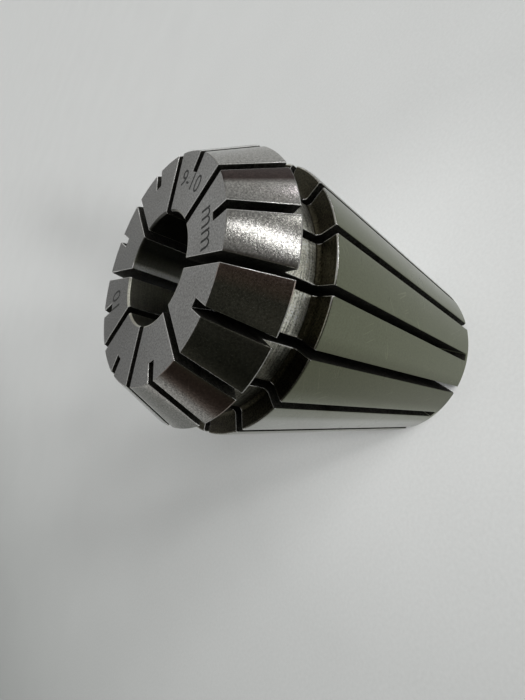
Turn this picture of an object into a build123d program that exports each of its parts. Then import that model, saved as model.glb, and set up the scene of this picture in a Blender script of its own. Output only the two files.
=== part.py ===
from build123d import *
import os
from math import radians, sqrt, tan

# Spring collet, ER type, 25 size, for shanks of 9 to 10 mm: one piece of hardened spring steel.
# It stands on its small rear end. The origin is the centre of that end, and +Z runs up the bore
# to the front face. One of the slots sawn from the front is on +X.
# Sizes are in millimetres and degrees.

os.makedirs("parts", exist_ok=True)

# Body: a taper that is largest at the shoulder and seats in the chuck
overall_length = 34.0
seat_diameter = 26.0
taper_half_angle = 8.0
shoulder_depth = 8.45  # from the front face back to the shoulder
shoulder_break = 0.15
rear_edge_break = 0.3

# Nose: the short cone that the clamping nut presses on; its rim is as wide as the seat
nose_half_angle = 30.0
nose_length = 4.8  # from the front face back to the rim
rim_break = 0.12

# Groove: the nut's extraction ring runs in it
groove_depth = 2.0  # below the seat's radius
groove_front_lean = 8.0  # the front wall leans back towards the bottom
groove_corner_radius = 0.4

# Bore
bore_diameter = 10.0
bore_mouth_break = 0.13
bore_rear_break = 0.3

# Slots: half are sawn from the front, and the other half, between them, from the rear
slots_per_end = 8
slot_width = 0.8
saw_diameter = 63.0
saw_overcut = 0.6  # how far the saw passes the wall of the bore
front_cut_web = 0.7  # left at the rear end, measured on the taper
rear_cut_depth = 1.7  # depth left at the front face, measured in from its rim

# Radii and heights that follow
seat_radius = seat_diameter / 2
bore_radius = bore_diameter / 2
face_radius = seat_radius - nose_length * tan(radians(nose_half_angle))
groove_radius = seat_radius - groove_depth
shoulder_height = overall_length - shoulder_depth
rim_height = overall_length - nose_length
groove_front_height = rim_height - (seat_radius - groove_radius) * tan(radians(groove_front_lean))
rear_radius = seat_radius - shoulder_height * tan(radians(taper_half_angle))

# The saw's disc: its edge stops just inside the bore, and its axis lies that far out
saw_radius = saw_diameter / 2
saw_axis_radius = bore_radius - saw_overcut + saw_radius
front_cut_end_radius = rear_radius + front_cut_web * tan(radians(taper_half_angle))
front_cut_lowest_axis = front_cut_web + sqrt(saw_radius**2 - (saw_axis_radius - front_cut_end_radius) ** 2)
rear_cut_end_radius = face_radius - rear_cut_depth
rear_cut_highest_axis = overall_length - sqrt(saw_radius**2 - (saw_axis_radius - rear_cut_end_radius) ** 2)
saw_travel = overall_length + saw_radius  # far enough to leave the part at the open end
slot_pitch = 360 / slots_per_end


def slot_planes(first_angle):
    """The planes through the axis in which the saw's disc lies, one for each slot."""
    return [Plane.XZ.rotated((0, 0, first_angle + slot * slot_pitch)) for slot in range(slots_per_end)]


def corner_at(section, radius, height):
    """The corner of a half section that lies nearest this radius and height."""
    return section.vertices().sort_by_distance((radius, height))[0]


with BuildPart() as collet:
    # Half section, turned about the axis
    with BuildSketch(Plane.XZ) as half_section:
        with BuildLine():
            Polyline(
                (bore_radius, 0),
                (rear_radius, 0),
                (seat_radius, shoulder_height),
                (groove_radius, shoulder_height),
                (groove_radius, groove_front_height),
                (seat_radius, rim_height),
                (face_radius, overall_length),
                (bore_radius, overall_length),
                close=True,
            )
        make_face()
        chamfer(corner_at(half_section, bore_radius, 0), bore_rear_break)
        chamfer(corner_at(half_section, rear_radius, 0), rear_edge_break)
        fillet(corner_at(half_section, seat_radius, shoulder_height), shoulder_break)
        fillet(corner_at(half_section, groove_radius, shoulder_height), groove_corner_radius)
        fillet(corner_at(half_section, seat_radius, rim_height), rim_break)
        chamfer(corner_at(half_section, bore_radius, overall_length), bore_mouth_break)
    revolve(axis=Axis.Z)

    # Slots sawn from the front: they stop just short of the rear end
    with BuildSketch(*slot_planes(0)):
        with Locations((saw_axis_radius, front_cut_lowest_axis + saw_travel / 2)):
            SlotCenterToCenter(saw_travel, saw_diameter, rotation=90)
    extrude(amount=slot_width / 2, both=True, mode=Mode.SUBTRACT)

    # Slots sawn from the rear: the saw's arc leaves them shallow where they meet the front face
    with BuildSketch(*slot_planes(slot_pitch / 2)):
        with Locations((saw_axis_radius, rear_cut_highest_axis - saw_travel / 2)):
            SlotCenterToCenter(saw_travel, saw_diameter, rotation=90)
    extrude(amount=slot_width / 2, both=True, mode=Mode.SUBTRACT)

collet.part.label = "collet"
export_step(collet.part, "parts/collet.step")
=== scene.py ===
from math import cos, hypot, pi, radians, sin, sqrt, tan

import bpy
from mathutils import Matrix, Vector


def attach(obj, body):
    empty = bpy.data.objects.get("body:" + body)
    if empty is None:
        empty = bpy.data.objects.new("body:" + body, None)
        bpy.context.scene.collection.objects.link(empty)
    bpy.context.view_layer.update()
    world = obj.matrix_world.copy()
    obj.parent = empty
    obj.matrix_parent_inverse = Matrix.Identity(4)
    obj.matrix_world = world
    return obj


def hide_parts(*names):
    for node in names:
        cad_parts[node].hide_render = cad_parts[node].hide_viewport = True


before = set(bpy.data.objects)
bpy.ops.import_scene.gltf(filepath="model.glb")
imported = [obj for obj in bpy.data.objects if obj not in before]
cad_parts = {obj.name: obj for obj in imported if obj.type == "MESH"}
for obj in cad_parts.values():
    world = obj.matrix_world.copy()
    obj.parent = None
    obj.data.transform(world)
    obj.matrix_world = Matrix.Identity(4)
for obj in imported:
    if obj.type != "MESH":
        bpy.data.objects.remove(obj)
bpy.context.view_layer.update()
bpy.ops.object.select_all(action="DESELECT")


# ---------------------------------------------------------------------------------------------
# The blank: the collet before it is sawn, turned from a bar of spring steel and hardened. Its
# cones are then ground round and round, its front face is blasted fine, and its groove keeps the
# turning marks. Its half section is climbed in millimetres, from the rear end up the outside.
# ---------------------------------------------------------------------------------------------
overall_length = 34.0
seat_radius = 13.0
taper = tan(radians(8))
shoulder_height = overall_length - 8.45
rear_radius = seat_radius - shoulder_height * taper
nose_length = 4.8
rim_height = overall_length - nose_length
face_radius = seat_radius - nose_length * tan(radians(30))
groove_depth = 2.0
groove_radius = seat_radius - groove_depth
groove_front_height = rim_height - groove_depth * tan(radians(8))
bore_radius = 5.0
rear_edge_break = 0.3
shoulder_round = 0.15
groove_round = 0.4
rim_round = 0.12
mouth_break = 0.13
bore_rear_break = 0.3
slot_count = 16
slot_pitch = radians(360 / slot_count)
facets_per_petal = 9


def rounded(before, corner, after, radius, steps=5):
    """The points of a round of this radius at a corner of the half section."""
    before, corner, after = Vector(before), Vector(corner), Vector(after)
    one, other = (before - corner).normalized(), (after - corner).normalized()
    half = one.angle(other) / 2
    middle = corner + (one + other).normalized() * (radius / sin(half))
    start, end = ((corner + way * radius / tan(half) - middle).normalized() for way in (one, other))
    return [middle + start.slerp(end, step / steps) * radius for step in range(steps + 1)]


rear_corner = (rear_radius, 0)
shoulder = (seat_radius, shoulder_height)
groove_rear = (groove_radius, shoulder_height)
groove_front = (groove_radius, groove_front_height)
rim = (seat_radius, rim_height)
face_edge = (face_radius, overall_length)
half_section = [
    (bore_radius + bore_rear_break, 0),
    (rear_radius - rear_edge_break, 0),
    (rear_radius + rear_edge_break * taper, rear_edge_break),
    *rounded(rear_corner, shoulder, groove_rear, shoulder_round),
    *rounded(shoulder, groove_rear, groove_front, groove_round),
    groove_front,
    *rounded(groove_front, rim, face_edge, rim_round),
    face_edge,
    (bore_radius + mouth_break, overall_length),
    (bore_radius, overall_length - mouth_break),
    (bore_radius, bore_rear_break),
]

first_radius, first_height = half_section[0]
bpy.ops.mesh.primitive_circle_add(
    vertices=slot_count * facets_per_petal,
    radius=first_radius,
    location=(0, 0, first_height),
)
collet = bpy.context.object
collet.name = "collet_ground"
half_facet = slot_pitch / facets_per_petal / 2
bpy.ops.transform.rotate(value=half_facet, orient_axis="Z", center_override=(0, 0, 0))
bpy.ops.object.transform_apply(location=True, rotation=True, scale=True)
bpy.ops.object.mode_set(mode="EDIT")
bpy.ops.mesh.select_mode(type="VERT")
bpy.ops.mesh.select_all(action="SELECT")
radius, height = first_radius, first_height
for next_radius, next_height in half_section[1:]:
    climb = (0, 0, next_height - height)
    bpy.ops.mesh.extrude_region_move(TRANSFORM_OT_translate={"value": climb})
    swell = next_radius / radius
    bpy.ops.transform.resize(value=(swell, swell, 1), center_override=(0, 0, 0))
    radius, height = next_radius, next_height
bpy.ops.mesh.select_all(action="SELECT")
bpy.ops.mesh.region_to_loop()
bpy.ops.mesh.bridge_edge_loops()
bpy.ops.mesh.select_all(action="SELECT")
bpy.ops.mesh.normals_make_consistent(inside=False)
bpy.ops.object.mode_set(mode="OBJECT")


# The finishes: one steel, with the marks of the tool that made each surface, and on some
# of them painted shade, painted light and painted reflections.
class Wire:
    """A socket in a material's node tree. Arithmetic on it adds the Math node that does it."""

    def __init__(self, tree, socket=None):
        self.tree, self.socket = tree, socket

    def node(self, kind, settings=None, sockets=None, out=0):
        """A new node of any kind: its settings are made first, then its sockets are filled."""
        added = self.tree.nodes.new(kind)
        for name, value in (settings or {}).items():
            if name == "stops":
                ramp = added.color_ramp.elements
                while len(ramp) < len(value):
                    ramp.new(1)
                for stop, (place, colour) in zip(ramp, value):
                    stop.position, stop.color = place, (*colour, 1)
            else:
                setattr(added, name, value)
        for name, value in (sockets or {}).items():
            socket = added.inputs[name]
            if isinstance(value, Wire):
                self.tree.links.new(value.socket, socket)
            elif socket.type == "RGBA":
                socket.default_value = (*value, 1)
            else:
                socket.default_value = value
        return Wire(self.tree, added.outputs[out] if added.outputs else None)

    def maths(self, operation, first, second=0.0):
        return self.node("ShaderNodeMath", {"operation": operation}, {0: first, 1: second})

    def __add__(self, other):
        return self.maths("ADD", self, other)

    def __sub__(self, other):
        return self.maths("SUBTRACT", self, other)

    def __rsub__(self, other):
        return self.maths("SUBTRACT", other, self)

    def __mul__(self, other):
        return self.maths("MULTIPLY", self, other)

    def __truediv__(self, other):
        return self.maths("DIVIDE", self, other)

    def __pow__(self, other):
        return self.maths("POWER", self, other)

    __radd__, __rmul__ = __add__, __mul__

    def between(self, low, high):
        """0 below low, 1 above high, and an even slope from one to the other."""
        return self.node(
            "ShaderNodeMapRange",
            {"clamp": True},
            {"Value": self, "From Min": low, "From Max": high, "To Min": 0.0, "To Max": 1.0},
        )

    def tinted(self, clear, full):
        """The colour that goes from clear to full as this wire goes from 0 to 1."""
        first_colour, second_colour, mixed_colour = 6, 7, 2
        ends = {"Factor": self, first_colour: clear, second_colour: full}
        mix = {"data_type": "RGBA", "clamp_factor": True}
        return self.node("ShaderNodeMix", mix, ends, out=mixed_colour)

    def scaled(self, factor):
        """This wire's colour or vector, with each part of it multiplied by the factor."""
        sizes = {0: self, "Scale": factor}
        return self.node("ShaderNodeVectorMath", {"operation": "SCALE"}, sizes)

    def dot(self, other):
        """How far this wire's vector reaches in another vector's direction."""
        both = {0: self, 1: other}
        return self.node("ShaderNodeVectorMath", {"operation": "DOT_PRODUCT"}, both, out=1)


def noise(start, vector, scale, detail=3.0, rough=0.5):
    sockets = {"Vector": vector, "Scale": scale, "Detail": detail, "Roughness": rough}
    return start.node("ShaderNodeTexNoise", {"noise_dimensions": "3D"}, sockets)


object_coordinates = 3
fine_marks_per_mm, broad_marks_per_mm = 7.0, 1.6
fine_marks_drift, broad_marks_drift = 0.25, 0.3
grain_per_mm, speckle_per_mm, cloud_per_mm, sparks_per_mm = 6.5, 2.6, 0.22, 17.0
speckle_share, speckle_darkening = 0.3, 0.55
spark_roughness, spark_microns = 0.35, 2.7
scratch_gap_mm, scratch_run_mm, scratch_microns = 0.8, 14.0, 2.0
scratch_turns = (0.5, -0.9)
middle_radius_mm = 10.0
micron = 0.000001


def steel(
    name,
    clean,
    stained,
    roughness,
    lay="none",
    lay_microns=0.0,
    grain_microns=2.0,
    grit=0.6,
    streaks=0.0,
    scratches=0.0,
    sparkle=0.0,
    painted_light_and_shade=(),
):
    """One finish of the steel. Its lay is 'round' a cone, in 'rings' on a flat, or 'none'.

    The tints on one side are painted shade, painted light and painted reflections. Each is
    its colour, its azimuth in degrees, and the cosines of the angles from there at which it
    ends and at which it is full.
    """
    finish = bpy.data.materials.new(name)
    finish.use_nodes = True
    tree = finish.node_tree
    tree.nodes.clear()
    start = Wire(tree)
    place = start.node("ShaderNodeTexCoord", out=object_coordinates)
    millimetres = place.scaled(1000.0)
    split = start.node("ShaderNodeSeparateXYZ", None, {0: millimetres})
    x, y, z = (Wire(tree, output) for output in split.socket.node.outputs)
    radius = (x * x + y * y) ** 0.5
    along = {"round": z, "rings": radius, "none": radius * 0.0}[lay]

    # What the surface is made of: tool marks, blasted grain, stains and dark specks; and tints
    # on one side that are painted shade, painted light and painted reflections.
    fine_at = {0: x * fine_marks_drift, 1: y * fine_marks_drift, 2: along * fine_marks_per_mm}
    fine_marks = noise(start, start.node("ShaderNodeCombineXYZ", None, fine_at), 1.0, 4.0, 0.65)
    broad_at = {0: x * broad_marks_drift, 1: y * broad_marks_drift, 2: along * broad_marks_per_mm}
    broad_marks = noise(start, start.node("ShaderNodeCombineXYZ", None, broad_at), 1.0, 2.0, 0.5)
    grain = noise(start, millimetres, grain_per_mm, 3.0, 0.7)
    cloud = noise(start, millimetres, cloud_per_mm, 3.0, 0.55)
    speckle = noise(start, millimetres, speckle_per_mm, 5.0, 0.7).between(0.6, 0.78)

    stain = cloud.between(0.4, 0.7) * 0.6 + broad_marks.between(0.45, 0.75) * 0.4
    colour = stain.tinted(clean, stained)
    # Painted shade, painted light and painted reflections, each a tint round its own azimuth.
    for painted_colour, azimuth, clear_from, full_at in painted_light_and_shade:
        side = (x * cos(radians(azimuth)) + y * sin(radians(azimuth))) / radius
        colour = side.between(clear_from, full_at).tinted(colour, painted_colour)
    specks = tuple(speckle_darkening * part for part in stained)
    colour = (speckle * speckle_share).tinted(colour, specks)
    tone = 1.0 + (grain.between(0.3, 0.7) - 0.5) * grit
    tone = tone + (fine_marks.between(0.3, 0.7) - 0.5) * streaks
    rough = roughness + (cloud - 0.5) * 0.1 + (fine_marks - 0.5) * 0.1 + speckle * 0.1
    height = fine_marks * lay_microns + grain * grain_microns
    if sparkle:
        sparks = noise(start, millimetres, sparks_per_mm, 1.0, 0.6) - 0.5
        rough = rough + sparks * spark_roughness * sparkle
        height = height + sparks * spark_microns * sparkle

    # Straight hairline scratches in two directions, on the surface unrolled round the bore.
    around = y.maths("ARCTAN2", y, x) * middle_radius_mm
    unrolled = start.node("ShaderNodeCombineXYZ", None, {0: around, 1: z - radius})
    for turn in scratch_turns if scratches else ():
        run = (scratch_gap_mm, scratch_run_mm, 1.0)
        stretch = {"Vector": unrolled, "Rotation": (0.0, 0.0, turn), "Scale": run}
        stretched = start.node("ShaderNodeMapping", {"vector_type": "TEXTURE"}, stretch)
        across = noise(start, stretched, 1.0, 0.0) - 0.5
        hairline = across.maths("ABSOLUTE", across).between(0.02, 0.006)
        here = noise(start, unrolled, 0.4 + turn * 0.1, 1.0).between(0.62, 0.67)
        tone = tone + hairline * here * scratches
        height = height - hairline * here * scratch_microns

    relief = {"Strength": 1.0, "Distance": micron, "Height": height}
    sockets = {
        "Base Color": colour.scaled(tone),
        "Metallic": 1.0,
        "Roughness": rough.between(0.0, 1.0),
        "Normal": start.node("ShaderNodeBump", None, relief),
    }
    shader = start.node("ShaderNodeBsdfPrincipled", None, sockets)
    start.node("ShaderNodeOutputMaterial", None, {"Surface": shader})
    return finish


blasted_face = steel(
    "blasted_face",
    clean=(0.46, 0.46, 0.455),
    stained=(0.40, 0.395, 0.385),
    roughness=0.46,
    grain_microns=7.0,
    grit=0.9,
    scratches=0.15,
    # Painted shade: the face darkens evenly from azimuth -15 across to azimuth 165.
    painted_light_and_shade=[((0.27, 0.27, 0.266), 165, -1.0, 1.0)],
)
ground_nose = steel(
    "ground_nose",
    clean=(0.39, 0.385, 0.37),
    stained=(0.32, 0.305, 0.28),
    roughness=0.12,
    grain_microns=4.0,
    grit=1.0,
    scratches=0.12,
    sparkle=1.0,
    # Painted reflections: a dark streak round azimuth -4 and brown bands round -49.5 and -97.
    painted_light_and_shade=[
        ((0.055, 0.040, 0.037), -4, 0.9925, 0.9975),
        ((0.46, 0.385, 0.345), -49.5, 0.9945, 0.9994),
        ((0.26, 0.212, 0.185), -97, 0.9877, 0.9962),
    ],
)
turned_groove = steel(
    "turned_groove",
    # Painted light: these colours are brighter than bare steel.
    clean=(0.90, 0.90, 0.80),
    stained=(0.62, 0.59, 0.49),
    roughness=0.4,
    lay="round",
    lay_microns=8.0,
    grain_microns=6.0,
    grit=1.3,
    streaks=1.2,
    # Painted shade: the tints darken the groove round azimuths -108 and 0.
    painted_light_and_shade=[((0.13, 0.125, 0.10), -108, 0.66, 0.86), ((0.45, 0.44, 0.40), 0, 0.93, 0.98)],
)
# Painted shade: the groove's rear wall is coloured near black, far darker than bare steel.
turned_wall_painted_shade = steel(
    "turned_wall_painted_shade",
    clean=(0.062, 0.056, 0.036),
    stained=(0.024, 0.02, 0.013),
    roughness=0.42,
    lay="rings",
    lay_microns=8.0,
    grain_microns=6.0,
    grit=1.8,
    streaks=0.5,
)
ground_taper = steel(
    "ground_taper",
    # Painted reflection: the olive cast of these colours; the bare steel is mid grey.
    clean=(0.34, 0.347, 0.312),
    stained=(0.30, 0.302, 0.265),
    roughness=0.3,
    lay="round",
    lay_microns=1.0,
    grain_microns=3.0,
    grit=0.25,
    streaks=0.06,
    scratches=0.35,
    # Painted shade darkens the body round azimuths -48, -74 and 12; painted light lightens it round
    # -106.
    painted_light_and_shade=[
        ((0.165, 0.176, 0.122), -48, 0.55, 0.86),
        ((0.115, 0.121, 0.08), -74, 0.968, 0.992),
        ((0.24, 0.245, 0.225), 12, 0.955, 0.99),
        ((0.42, 0.425, 0.40), -106, 0.9877, 0.9962),
    ],
)
turned_end = steel(
    "turned_end",
    clean=(0.36, 0.36, 0.34),
    stained=(0.27, 0.265, 0.24),
    roughness=0.35,
    lay="rings",
    lay_microns=4.0,
    grit=0.4,
    streaks=0.3,
)
honed_bore = steel(
    "honed_bore",
    clean=(0.60, 0.60, 0.53),
    stained=(0.46, 0.44, 0.37),
    roughness=0.31,
    lay="round",
    lay_microns=1.5,
    grain_microns=2.5,
    grit=0.4,
    streaks=0.2,
    # Painted shade round azimuth 70, painted light round 165, and a painted highlight line at
    # 128.5.
    painted_light_and_shade=[
        ((0.10, 0.10, 0.09), 70, 0.5, 0.8),
        ((0.78, 0.78, 0.67), 165, 0.9, 0.97),
        ((1.0, 1.0, 0.96), 128.5, 0.995, 0.9992),
    ],
)
broken_edge = steel(
    "broken_edge",
    clean=(0.85, 0.85, 0.83),
    stained=(0.70, 0.69, 0.66),
    roughness=0.16,
)

finishes = [
    ground_taper,
    turned_groove,
    turned_wall_painted_shade,
    ground_nose,
    blasted_face,
    honed_bore,
    turned_end,
    broken_edge,
]
for finish in finishes:
    collet.data.materials.append(finish)
groove_floor = shoulder_height - 0.05
wall_top = shoulder_height + 0.5
wall_edge = seat_radius - 0.16
groove_edge = seat_radius - 0.1
for facet in collet.data.polygons:
    facet_radius, facet_height = hypot(*facet.center.xy), facet.center.z
    outward = facet.normal.xy.dot(facet.center.xy) / facet_radius
    if facet.normal.z > 0.9 and facet_height > rim_height:
        finish = blasted_face
    elif outward < -0.5:
        finish = honed_bore
    elif facet.normal.z < -0.6 and facet_height < rim_height / 2:
        finish = turned_end
    elif facet_height > groove_front_height and outward > 0.5 and facet.normal.z > -0.5:
        finish = ground_nose
    elif (
        facet.normal.z > 0.1
        and groove_floor < facet_height < wall_top
        and facet_radius < wall_edge
    ):
        finish = turned_wall_painted_shade
    elif 0.45 < facet.normal.z < 0.8 and facet_height < rim_height:
        finish = broken_edge
    elif facet_height > groove_floor and facet_radius < groove_edge:
        finish = turned_groove
    else:
        finish = ground_taper
    facet.material_index = finishes.index(finish)


# ---------------------------------------------------------------------------------------------
# The slots: a saw 0.8 mm thick goes in from the front eight times, and from the rear eight
# times between those cuts. Its edge runs just inside the bore, so it leaves an arc at the end.
# ---------------------------------------------------------------------------------------------
saw_thickness = 0.8
saw_radius = 31.5
saw_into_bore = 0.6
saw_axis_radius = bore_radius - saw_into_bore + saw_radius
rear_web = 0.7
front_reach = saw_axis_radius - rear_radius - rear_web * taper
front_saw_height = rear_web + sqrt(saw_radius**2 - front_reach**2)
rear_cut_in_face = 1.7
rear_reach = saw_axis_radius - (face_radius - rear_cut_in_face)
rear_saw_height = overall_length - sqrt(saw_radius**2 - rear_reach**2)
saws_per_end = slot_count // 2
# Painted shade: the sawn walls are coloured near black, far darker than bare steel.
sawn_wall_painted_shade = steel(
    "sawn_wall_painted_shade",
    clean=(0.09, 0.088, 0.078),
    stained=(0.02, 0.018, 0.015),
    roughness=0.8,
    lay="round",
    lay_microns=5.0,
    grain_microns=4.0,
    grit=1.5,
    streaks=0.6,
)


def sawn(height, way, turn):
    """Eight saw discs, one for each slot, each drawn out along the collet to its open end."""
    bpy.ops.mesh.primitive_cylinder_add(
        vertices=256,
        radius=saw_radius,
        depth=saw_thickness,
        location=(saw_axis_radius, 0, height),
        rotation=(pi / 2, 0, 0),
    )
    saw = bpy.context.object
    saw.data.materials.append(sawn_wall_painted_shade)
    bpy.ops.object.transform_apply(location=True, rotation=True, scale=True)
    bpy.ops.object.mode_set(mode="EDIT")
    bpy.ops.mesh.select_all(action="DESELECT")
    bpy.ops.object.mode_set(mode="OBJECT")
    for point in saw.data.vertices:
        point.select = (point.co.z - height) * way > 0.001
    bpy.ops.object.mode_set(mode="EDIT")
    bpy.ops.transform.translate(value=(0, 0, way * (overall_length + saw_radius)))
    bpy.ops.mesh.select_all(action="SELECT")
    bpy.ops.transform.rotate(value=turn, orient_axis="Z", center_override=(0, 0, 0))
    bpy.ops.mesh.spin(
        steps=saws_per_end - 1,
        dupli=True,
        angle=radians(360 - 360 / saws_per_end),
        center=(0, 0, 0),
        axis=(0, 0, 1),
    )
    bpy.ops.object.mode_set(mode="OBJECT")
    return saw


for name, saw in (
    ("front", sawn(front_saw_height, 1, 0)),
    ("rear", sawn(rear_saw_height, -1, slot_pitch)),
):
    bpy.ops.object.select_all(action="DESELECT")
    bpy.context.view_layer.objects.active = collet
    cut = collet.modifiers.new("sawn from the " + name, "BOOLEAN")
    cut.operation = "DIFFERENCE"
    cut.solver = "EXACT"
    cut.material_mode = "TRANSFER"
    cut.object = saw
    bpy.ops.object.modifier_apply(modifier=cut.name)
    bpy.data.objects.remove(saw)


# ---------------------------------------------------------------------------------------------
# The broken edges: every sharp corner that the saw and the wheel leave is brushed off, by a few
# hundredths of a millimetre, so it catches the light as a thin bright line.
# ---------------------------------------------------------------------------------------------
edge_break = 0.06

collet.select_set(True)
bpy.ops.object.mode_set(mode="EDIT")
bpy.ops.mesh.select_all(action="SELECT")
bpy.ops.mesh.remove_doubles(threshold=0.001)
bpy.ops.mesh.dissolve_limited(angle_limit=radians(0.3), delimit={"MATERIAL"})
bpy.ops.object.mode_set(mode="OBJECT")
worn = collet.modifiers.new("broken edges", "BEVEL")
worn.width = edge_break
worn.segments = 2
worn.limit_method = "ANGLE"
worn.angle_limit = radians(40)
worn.use_clamp_overlap = False
worn.material = finishes.index(broken_edge)
bpy.ops.object.modifier_apply(modifier=worn.name)
for facet in collet.data.polygons:
    if facet.material_index != finishes.index(broken_edge):
        continue
    around = Vector((-facet.center.y, facet.center.x, 0)).normalized()
    outside = facet.normal.xy.dot(facet.center.xy) > 0
    if facet.center.z > overall_length - 0.5 and abs(facet.normal.dot(around)) < 0.2:
        facet.material_index = finishes.index(ground_nose if outside else honed_bore)
    elif facet.center.z < shoulder_height - 0.3 and outside:
        facet.material_index = finishes.index(ground_taper)
bpy.ops.object.mode_set(mode="EDIT")
bpy.ops.mesh.select_all(action="SELECT")
millimetre = 0.001
bpy.ops.transform.resize(value=(millimetre,) * 3, center_override=(0, 0, 0))
bpy.ops.object.mode_set(mode="OBJECT")
bpy.ops.object.shade_smooth_by_angle(angle=radians(35))
evened = collet.modifiers.new("flats kept flat", "WEIGHTED_NORMAL")
evened.mode = "FACE_AREA"
evened.weight = 100
evened.keep_sharp = True
bpy.ops.object.modifier_apply(modifier=evened.name)
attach(collet, "root")
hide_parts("collet")


# ---------------------------------------------------------------------------------------------
# The etched marks: the range of shanks that the bore holds, their unit, and the size of the bore.
# They are burnt into the front face with a fine point, so each is a dull dark skin a few microns
# thick.
# ---------------------------------------------------------------------------------------------
etched = steel(
    "etched",
    clean=(0.10, 0.10, 0.10),
    stained=(0.075, 0.075, 0.073),
    roughness=0.6,
    grain_microns=6.0,
)
mark_proud = 0.000004
stroke_thinning = -0.000005
capital_share = 0.7
for name, words, mark_height, mark_radius, mark_azimuth in (
    ("mark_range", "9-10", 1.45, 7.65, 22.5),
    ("mark_unit", "mm", 1.75, 7.75, -26.0),
    ("mark_size", "10", 1.65, 7.5, 156.0),
):
    bpy.ops.object.select_all(action="DESELECT")
    bpy.ops.object.text_add(location=(0, 0, 0))
    mark = bpy.context.object
    mark.name = name
    mark.data.body = words
    mark.data.align_x, mark.data.align_y = "CENTER", "CENTER"
    mark.data.size = mark_height / capital_share / 1000
    mark.data.extrude = mark_proud
    mark.data.offset = stroke_thinning
    bpy.ops.object.convert(target="MESH")
    bpy.ops.object.mode_set(mode="EDIT")
    bpy.ops.mesh.select_all(action="SELECT")
    bpy.ops.mesh.remove_doubles(threshold=1e-7)
    bpy.ops.transform.translate(value=(0, mark_radius / 1000, overall_length / 1000))
    turn = radians(90 - mark_azimuth)
    bpy.ops.transform.rotate(value=turn, orient_axis="Z", center_override=(0, 0, 0))
    bpy.ops.object.mode_set(mode="OBJECT")
    mark.data.materials.append(etched)
    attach(mark, "root")


# ---------------------------------------------------------------------------------------------
# The floor: a pale sheet of card, far wider than the view, with painted shade that darkens it
# toward the dark side of the room, and painted light that lightens it round the collet's foot.
# ---------------------------------------------------------------------------------------------
def heading(azimuth, elevation):
    """The unit vector that points this way from the collet, in degrees."""
    turn, rise = radians(azimuth), radians(elevation)
    return Vector((cos(rise) * cos(turn), cos(rise) * sin(turn), sin(rise)))


floor_width = 12.0
dimmer_side = heading(-140, 0)
fibres_per_m, sheet_clouds_per_m = 2400.0, 60.0
bpy.ops.object.select_all(action="DESELECT")
bpy.ops.mesh.primitive_grid_add(x_subdivisions=4, y_subdivisions=4, size=floor_width)
floor = bpy.context.object
floor.name = "pale_floor"
card = bpy.data.materials.new("pale_card")
card.use_nodes = True
card.node_tree.nodes.clear()
start = Wire(card.node_tree)
spot = start.node("ShaderNodeTexCoord", out=object_coordinates)
from_foot = start.node("ShaderNodeVectorMath", {"operation": "LENGTH"}, {0: spot}, out=1)
# Painted light: the card is lighter within a few centimetres of the collet's foot.
pale = from_foot.between(0.012, 0.036).tinted((0.68, 0.69, 0.682), (0.56, 0.57, 0.563))
# Painted shade: the card darkens toward the dimmer side.
shaded = spot.dot(dimmer_side).between(0.005, 0.12).tinted(pale, (0.28, 0.29, 0.282))
fibres = noise(start, spot, fibres_per_m, 2.0, 0.6) * 0.14
fibres = fibres + noise(start, spot, sheet_clouds_per_m, 2.0, 0.5) * 0.06 + 0.9
card_sockets = {"Base Color": shaded.scaled(fibres), "Roughness": 0.8, "Specular IOR Level": 0.2}
card_shader = start.node("ShaderNodeBsdfPrincipled", None, card_sockets)
start.node("ShaderNodeOutputMaterial", None, {"Surface": card_shader})
floor.data.materials.append(card)


# ---------------------------------------------------------------------------------------------
# The light: a pale room that is dark on one side, where nothing stands. Three small soft lamps
# shine low across the nose of the collet, and five wide ones only fill the floor.
# ---------------------------------------------------------------------------------------------
room = bpy.context.scene.world or bpy.data.worlds.new("room")
bpy.context.scene.world = room
room.use_nodes = True
room.node_tree.nodes.clear()
start = Wire(room.node_tree)
direction = start.node("ShaderNodeTexCoord", out=0)
upward = start.node("ShaderNodeSeparateXYZ", None, {0: direction}, out=2)
wall_light = [
    (0.0, (0.62, 0.62, 0.61)),
    (0.14, (0.55, 0.55, 0.54)),
    (0.31, (0.30, 0.30, 0.29)),
    (0.47, (0.40, 0.40, 0.39)),
    (0.87, (0.42, 0.42, 0.42)),
]
room_colour = start.node("ShaderNodeValToRGB", {"stops": wall_light}, {0: upward})
uneven = noise(start, direction, 2.2, 1.0, 0.5).between(0.4, 0.65)
gloom = uneven.tinted((0.015, 0.016, 0.012), (0.055, 0.055, 0.043))
dark_side = heading(-91, 25)
toward_dark = direction.dot(dark_side)
for full, clear, colour in ((55, 72, (0.046, 0.039, 0.034)), (36, 48, gloom)):
    dark = toward_dark.between(cos(radians(clear)), cos(radians(full)))
    room_colour = dark.tinted(room_colour, colour)
background = start.node("ShaderNodeBackground", None, {"Color": room_colour, "Strength": 1.0})
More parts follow.
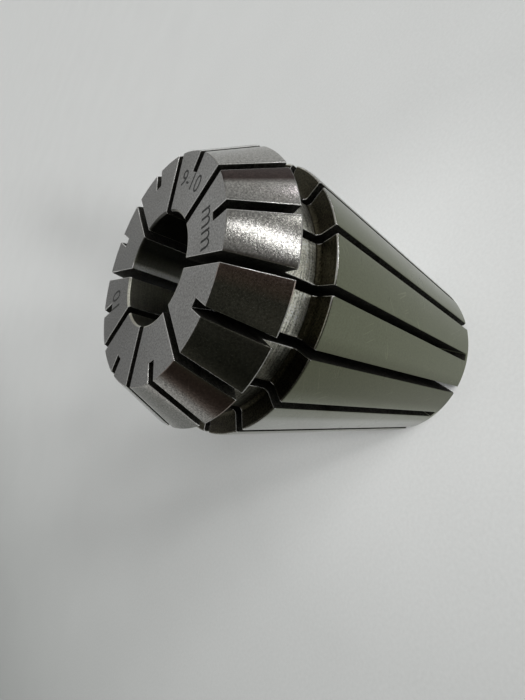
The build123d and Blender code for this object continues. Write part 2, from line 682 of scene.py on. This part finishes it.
start.node("ShaderNodeOutputWorld", None, {"Surface": background})

lamp_distance = 0.6
lamp_spread = radians(60)
for name, azimuth, elevation, width, height, tilt, strength, colour in (
    ("low_lamp", -7.5, 21.0, 0.20, 0.03, 21, 0.0145, (1.0, 1.0, 1.0)),
    ("side_lamp", 9, 11.5, 0.06, 0.05, 0, 0.0055, (1.0, 1.0, 0.97)),
    ("glint_lamp", 30.5, 5.5, 0.045, 0.03, 0, 0.0027, (1.0, 0.92, 1.0)),
):
    way = heading(azimuth, elevation)
    bpy.ops.object.light_add(type="AREA", location=way * lamp_distance)
    lamp = bpy.context.object
    lamp.name = name
    lamp.data.shape = "RECTANGLE"
    lamp.data.size, lamp.data.size_y = width, height
    lamp.data.energy = strength
    lamp.data.color = colour
    lamp.data.spread = lamp_spread
    lamp.rotation_euler = (-way).to_track_quat("-Z", "Y").to_euler()
    lamp.rotation_euler.rotate_axis("Z", radians(tilt))
    lamp.visible_camera = False
for name, azimuth, elevation, spread, strength in (
    ("floor_light_right", -2, 23, 18, 1.0),
    ("floor_light_middle", -16, 15, 11, 2.1),
    ("floor_light_front", -31, 14, 12, 2.3),
    ("floor_light_side", -46, 9, 10, 2.6),
    ("floor_light_left", -59, 6.5, 8, 4.6),
):
    way = heading(azimuth, elevation)
    bpy.ops.object.light_add(type="SUN", location=way)
    wide = bpy.context.object
    wide.name = name
    wide.data.angle = radians(spread)
    wide.data.energy = strength
    wide.rotation_euler = (-way).to_track_quat("-Z", "Y").to_euler()
    wide.visible_glossy = False


# ---------------------------------------------------------------------------------------------
# The camera: a hand-held view into the face from above, turned so that the collet's nose
# points to the left of the frame.
# ---------------------------------------------------------------------------------------------
bpy.ops.object.camera_add(
    location=(0.021454, -0.034123, 0.050986),
    rotation=(radians(19.972), radians(50.112), radians(-26.568)),
)
camera = bpy.context.object
camera.name = "camera"
camera.data.lens = 25.719
camera.data.sensor_width = 36
camera.data.clip_start = 0.001
bpy.context.scene.camera = camera
bpy.context.scene.view_settings.view_transform = "Standard"
